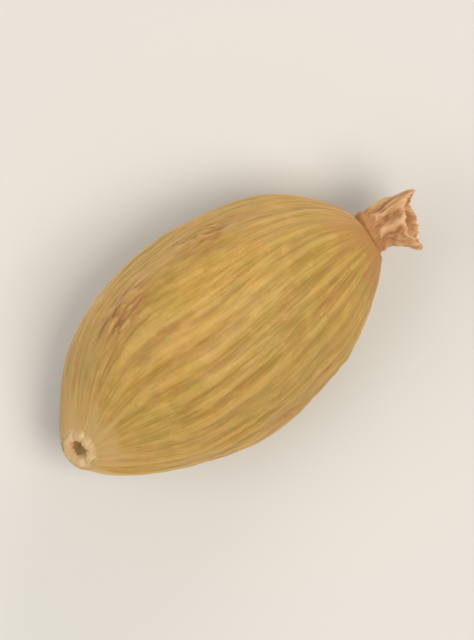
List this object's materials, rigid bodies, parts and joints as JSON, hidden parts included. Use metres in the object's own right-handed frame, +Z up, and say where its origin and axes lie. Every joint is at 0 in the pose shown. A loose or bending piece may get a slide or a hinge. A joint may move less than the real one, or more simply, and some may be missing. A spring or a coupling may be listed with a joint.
{
  "type": "green cardamom pod",
  "caption": "Whole dried green cardamom pod, a ribbed, bluntly three-sided husk with a stalk scar at one end and a withered flower tube at the other.",
  "frame": {"origin": "on the surface that the pod lies on, under the middle of the whole pod", "axes": "+X along the pod from the stalk scar towards the withered flower tube, +Z up from the flat resting spot"},
  "size_m": [0.0154, 0.008, 0.0073],
  "materials": {
    "dried_husk": "satin",
    "withered_petal": "matte"
  },
  "bodies": {
    "root": {"pod_husk": "dried_husk", "withered_flower_tube": "withered_petal"}
  },
  "joints": []
}
